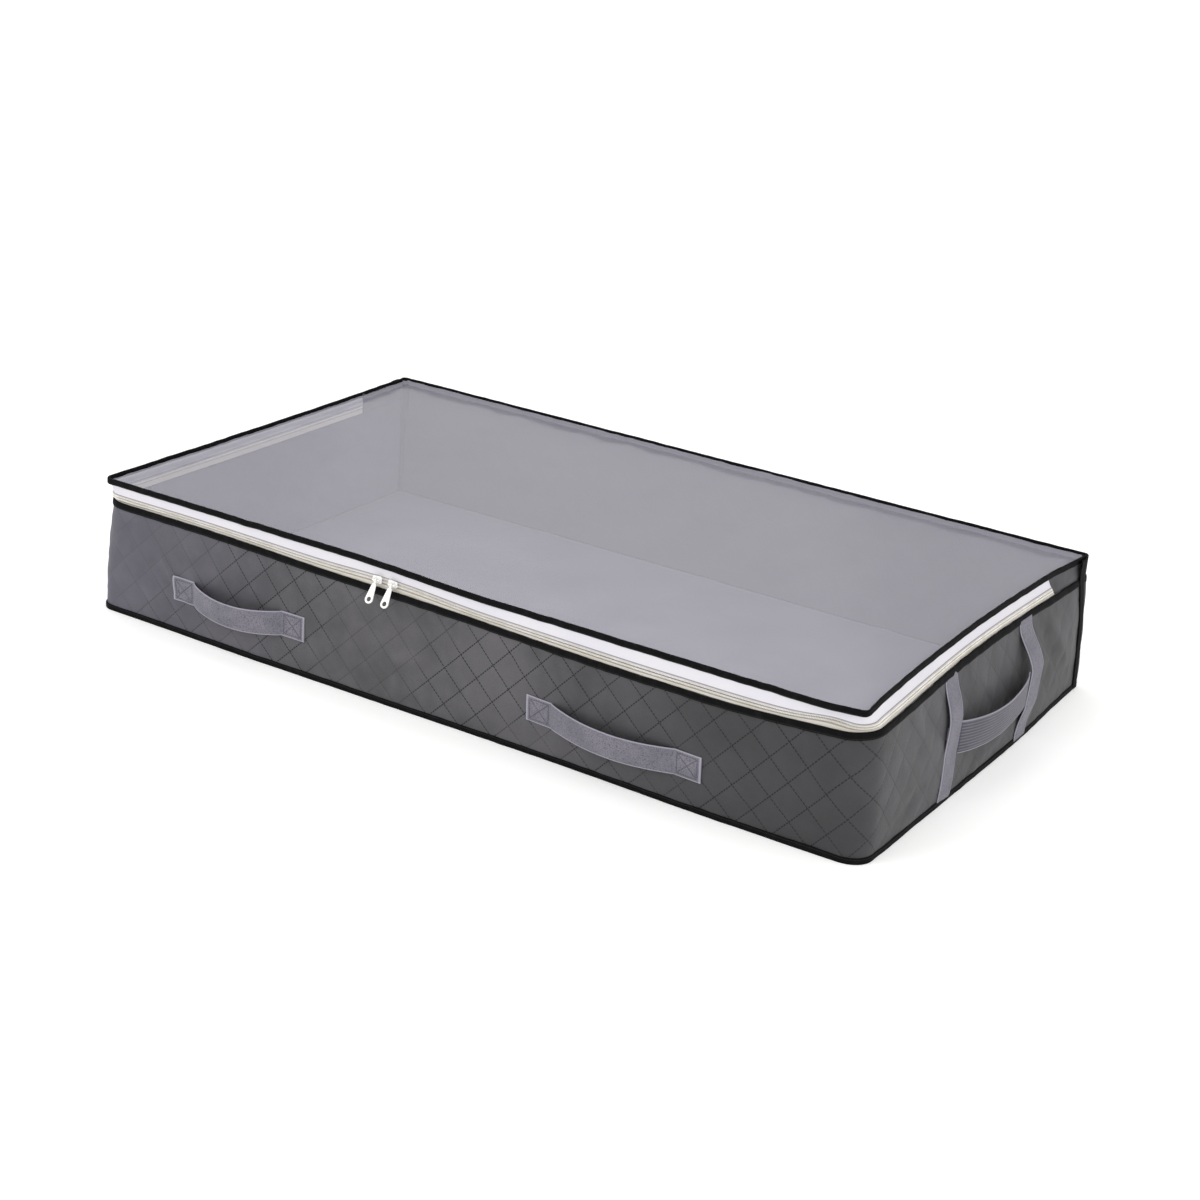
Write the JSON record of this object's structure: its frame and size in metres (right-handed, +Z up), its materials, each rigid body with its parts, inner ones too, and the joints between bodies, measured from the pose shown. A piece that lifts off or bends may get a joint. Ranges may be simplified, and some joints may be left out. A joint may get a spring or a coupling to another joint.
{
  "type": "under bed box",
  "caption": "Low zipped fabric storage bag with a clear fold-back lid, strap handles on its front and an H-shaped webbing handle on each end.",
  "frame": {"origin": "centre of the underside of the bottom panel's footprint, on the floor plane", "axes": "+X along the box's length, -Y out of the front wall with the two strap handles, +Z up"},
  "size_m": [1.0434, 0.609, 0.165],
  "materials": {
    "wall_fabric": "embossed grey non-woven polypropylene, matt",
    "black_binding": "black non-woven edge tape, folded and stitched",
    "dark_tab_fabric": "plain dark grey woven fabric",
    "zipper_tape": "white woven polyester zipper tape",
    "zipper_coil": "white nylon coil",
    "zipper_enamel": "white enamelled die-cast zinc",
    "handle_webbing": "grey ribbed polypropylene webbing",
    "clear_vinyl": "soft clear vinyl sheet, slightly hazy"
  },
  "bodies": {
    "bag": {"bottom_panel": "wall_fabric", "wrap_wall": "wall_fabric", "back_wall": "wall_fabric", "bottom_binding": "black_binding", "rim_binding": "black_binding", "corner_binding_left": "black_binding", "corner_binding_right": "black_binding", "rear_lid_binding": "black_binding", "zipper_end_tab_left": "dark_tab_fabric", "zipper_end_tab_right": "dark_tab_fabric", "lower_zipper_tape": "zipper_tape", "lower_zipper_coil": "zipper_coil", "window_rear_strip": "clear_vinyl", "front_handle_left_ends": "handle_webbing", "front_handle_right_ends": "handle_webbing", "end_handle_left_ends": "handle_webbing", "end_handle_right_ends": "handle_webbing", "end_handle_left_uprights": "handle_webbing", "end_handle_right_uprights": "handle_webbing"},
    "lid": {"clear_window": "clear_vinyl", "lid_binding": "black_binding", "upper_zipper_tape": "zipper_tape", "upper_zipper_coil": "zipper_coil"},
    "slider_left": {"zipper_slider_left": "zipper_enamel"},
    "slider_right": {"zipper_slider_right": "zipper_enamel"},
    "pull_left": {"pull_tab_left": "zipper_enamel"},
    "pull_right": {"pull_tab_right": "zipper_enamel"},
    "front_handle_left": {"front_handle_left_grip": "handle_webbing"},
    "front_handle_right": {"front_handle_right_grip": "handle_webbing"},
    "end_handle_left": {"end_handle_left_grip": "handle_webbing"},
    "end_handle_right": {"end_handle_right_grip": "handle_webbing"}
  },
  "joints": [
    {"name": "lid_fold", "type": "hinge", "parent": "bag", "child": "lid", "pos_m": [0, 0.205, 0.1653], "axis": [-1, 0, 0], "range_deg": [0, 170]},
    {"name": "slider_left_travel", "type": "slide", "parent": "bag", "child": "slider_left", "axis": [-1, 0, 0], "range_m": [0, 0.361]},
    {"name": "slider_right_travel", "type": "slide", "parent": "bag", "child": "slider_right", "axis": [1, 0, 0], "range_m": [0, 0.534]},
    {"name": "pull_left_swing", "type": "hinge", "parent": "slider_left", "child": "pull_left", "pos_m": [-0.097, -0.2977, 0.1445], "axis": [-1, 0, 0], "range_deg": [-33, 145]},
    {"name": "pull_right_swing", "type": "hinge", "parent": "slider_right", "child": "pull_right", "pos_m": [-0.076, -0.2977, 0.1445], "axis": [-1, 0, 0], "range_deg": [-33, 145]},
    {"name": "front_handle_left_lift", "type": "hinge", "parent": "bag", "child": "front_handle_left", "pos_m": [-0.29, -0.294, 0.073], "axis": [-1, 0, 0], "range_deg": [0, 90]},
    {"name": "front_handle_right_lift", "type": "hinge", "parent": "bag", "child": "front_handle_right", "pos_m": [0.216, -0.294, 0.069], "axis": [-1, 0, 0], "range_deg": [0, 90]},
    {"name": "end_handle_left_lift", "type": "hinge", "parent": "bag", "child": "end_handle_left", "pos_m": [-0.51, 0.0055, 0.085], "axis": [0, 1, 0], "range_deg": [0, 90]},
    {"name": "end_handle_right_lift", "type": "hinge", "parent": "bag", "child": "end_handle_right", "pos_m": [0.51, 0.0055, 0.085], "axis": [0, -1, 0], "range_deg": [0, 90]}
  ]
}
